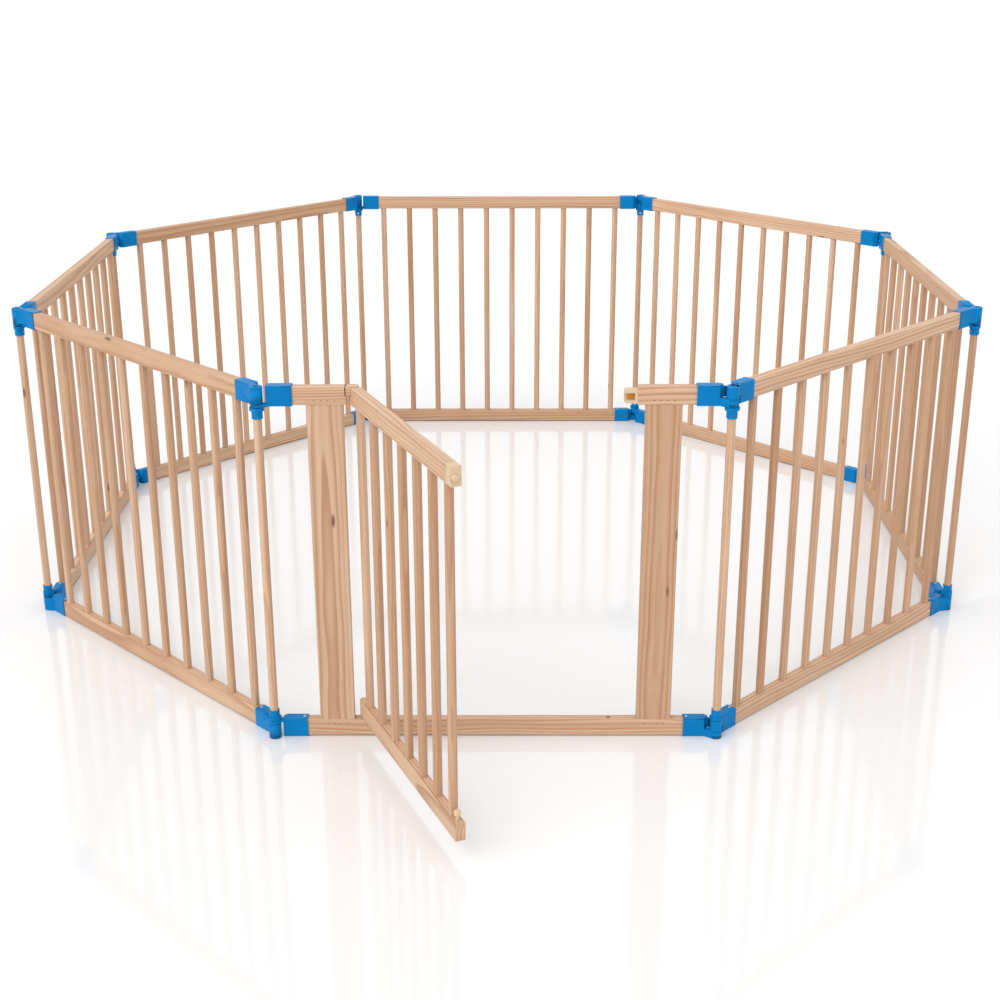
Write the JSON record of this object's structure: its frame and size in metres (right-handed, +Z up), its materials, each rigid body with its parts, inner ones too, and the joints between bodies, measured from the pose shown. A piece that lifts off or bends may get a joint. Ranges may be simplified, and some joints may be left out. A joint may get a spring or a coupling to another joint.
{
  "type": "playpen",
  "caption": "Free-standing wooden playpen: barred panels hinged in a ring by blue plastic corner fittings, with a latching gate in the front panel.",
  "frame": {"origin": "bottom centre of the whole object's box, on the floor", "axes": "+Z up; -Y is the front, with the gate; +X is to the right seen from the front"},
  "size_m": [2.2018, 2.6494, 0.745],
  "materials": {
    "pine_rails": "clear matt lacquer over light pine",
    "pine_bars": "clear matt lacquer over light pine",
    "pine_boards": "clear matt lacquer over light pine",
    "blue_plastic": "glossy injection moulding",
    "cream_plastic": "satin moulding",
    "buffer_rubber": "soft satin",
    "steel_fasteners": "zinc plated"
  },
  "bodies": {
    "gate_panel": {"gate_panel_sill": "pine_rails", "gate_panel_hinge_side_rail": "pine_rails", "gate_panel_latch_side_rail": "pine_rails", "gate_panel_boards": "pine_boards", "gate_panel_brads": "steel_fasteners", "gate_panel_latch_striker": "cream_plastic", "gate_panel_striker_buffer": "buffer_rubber", "gate_panel_corner_fittings": "blue_plastic", "gate_panel_corner_posts": "pine_bars", "gate_panel_post_sockets": "blue_plastic", "gate_panel_screws": "steel_fasteners"},
    "right_front_panel": {"right_front_panel_top_rail": "pine_rails", "right_front_panel_bottom_rail": "pine_rails", "right_front_panel_bars": "pine_bars", "right_front_panel_corner_fittings": "blue_plastic", "right_front_panel_screws": "steel_fasteners"},
    "right_panel": {"right_panel_top_rail": "pine_rails", "right_panel_bottom_rail": "pine_rails", "right_panel_bars": "pine_bars", "right_panel_corner_fittings": "blue_plastic", "right_panel_screws": "steel_fasteners", "right_panel_corner_posts": "pine_bars", "right_panel_post_sockets": "blue_plastic"},
    "right_back_panel": {"right_back_panel_top_rail": "pine_rails", "right_back_panel_bottom_rail": "pine_rails", "right_back_panel_bars": "pine_bars", "right_back_panel_corner_fittings": "blue_plastic", "right_back_panel_screws": "steel_fasteners"},
    "back_panel": {"back_panel_top_rail": "pine_rails", "back_panel_bottom_rail": "pine_rails", "back_panel_bars": "pine_bars", "back_panel_corner_fittings": "blue_plastic", "back_panel_screws": "steel_fasteners", "back_panel_corner_posts": "pine_bars", "back_panel_post_sockets": "blue_plastic"},
    "left_back_panel": {"left_back_panel_top_rail": "pine_rails", "left_back_panel_bottom_rail": "pine_rails", "left_back_panel_bars": "pine_bars", "left_back_panel_corner_fittings": "blue_plastic", "left_back_panel_screws": "steel_fasteners"},
    "left_panel": {"left_panel_top_rail": "pine_rails", "left_panel_bottom_rail": "pine_rails", "left_panel_bars": "pine_bars", "left_panel_corner_fittings": "blue_plastic", "left_panel_screws": "steel_fasteners", "left_panel_corner_posts": "pine_bars", "left_panel_post_sockets": "blue_plastic"},
    "left_front_panel": {"left_front_panel_top_rail": "pine_rails", "left_front_panel_bottom_rail": "pine_rails", "left_front_panel_bars": "pine_bars", "left_front_panel_corner_fittings": "blue_plastic", "left_front_panel_screws": "steel_fasteners"},
    "gate_leaf": {"gate_top_rail": "pine_rails", "gate_bottom_rail": "pine_rails", "gate_bars": "pine_bars", "gate_hinge_pins": "steel_fasteners", "gate_hinge_washer": "cream_plastic", "gate_end_cap": "cream_plastic"},
    "latch_nub": {"latch_nub": "cream_plastic"},
    "gate_bolt": {"gate_bolt": "cream_plastic"}
  },
  "joints": [
    {"name": "front_right_corner_fold", "type": "hinge", "parent": "gate_panel", "child": "right_front_panel", "pos_m": [0.45, -0.86261, 0.3725], "axis": [0, 0, 1], "range_deg": [-45, 45]},
    {"name": "right_front_corner_fold", "type": "hinge", "parent": "right_front_panel", "child": "right_panel", "pos_m": [1.0864, -0.22622, 0.3725], "axis": [0, 0, 1], "range_deg": [-45, 45]},
    {"name": "right_back_corner_fold", "type": "hinge", "parent": "right_panel", "child": "right_back_panel", "pos_m": [1.0864, 0.67378, 0.3725], "axis": [0, 0, 1], "range_deg": [-45, 45]},
    {"name": "back_right_corner_fold", "type": "hinge", "parent": "right_back_panel", "child": "back_panel", "pos_m": [0.45, 1.31018, 0.3725], "axis": [0, 0, 1], "range_deg": [-45, 45]},
    {"name": "front_left_corner_fold", "type": "hinge", "parent": "gate_panel", "child": "left_front_panel", "pos_m": [-0.45, -0.86261, 0.3725], "axis": [0, 0, 1], "range_deg": [-45, 45]},
    {"name": "left_front_corner_fold", "type": "hinge", "parent": "left_front_panel", "child": "left_panel", "pos_m": [-1.0864, -0.22622, 0.3725], "axis": [0, 0, 1], "range_deg": [-45, 45]},
    {"name": "left_back_corner_fold", "type": "hinge", "parent": "left_panel", "child": "left_back_panel", "pos_m": [-1.0864, 0.67378, 0.3725], "axis": [0, 0, 1], "range_deg": [-45, 45]},
    {"name": "gate_swing", "type": "hinge", "parent": "gate_panel", "child": "gate_leaf", "pos_m": [-0.266, -0.85051, 0.3725], "axis": [0, 0, 1], "range_deg": [-34, 66]},
    {"name": "latch_nub_press", "type": "slide", "parent": "gate_leaf", "child": "latch_nub", "axis": [-0.4067, 0.9135, 0], "range_m": [0, 0.006], "stiffness_N_per_m": 400},
    {"name": "gate_bolt_drop", "type": "slide", "parent": "gate_leaf", "child": "gate_bolt", "axis": [0, 0, -1], "range_m": [0, 0.008]}
  ],
  "couplings": [
    {"joint": "right_front_corner_fold", "follows": "front_right_corner_fold", "ratio": -1},
    {"joint": "right_back_corner_fold", "follows": "front_right_corner_fold", "ratio": 1},
    {"joint": "back_right_corner_fold", "follows": "front_right_corner_fold", "ratio": -1},
    {"joint": "front_left_corner_fold", "follows": "front_right_corner_fold", "ratio": 1},
    {"joint": "left_front_corner_fold", "follows": "front_right_corner_fold", "ratio": -1},
    {"joint": "left_back_corner_fold", "follows": "front_right_corner_fold", "ratio": 1}
  ]
}
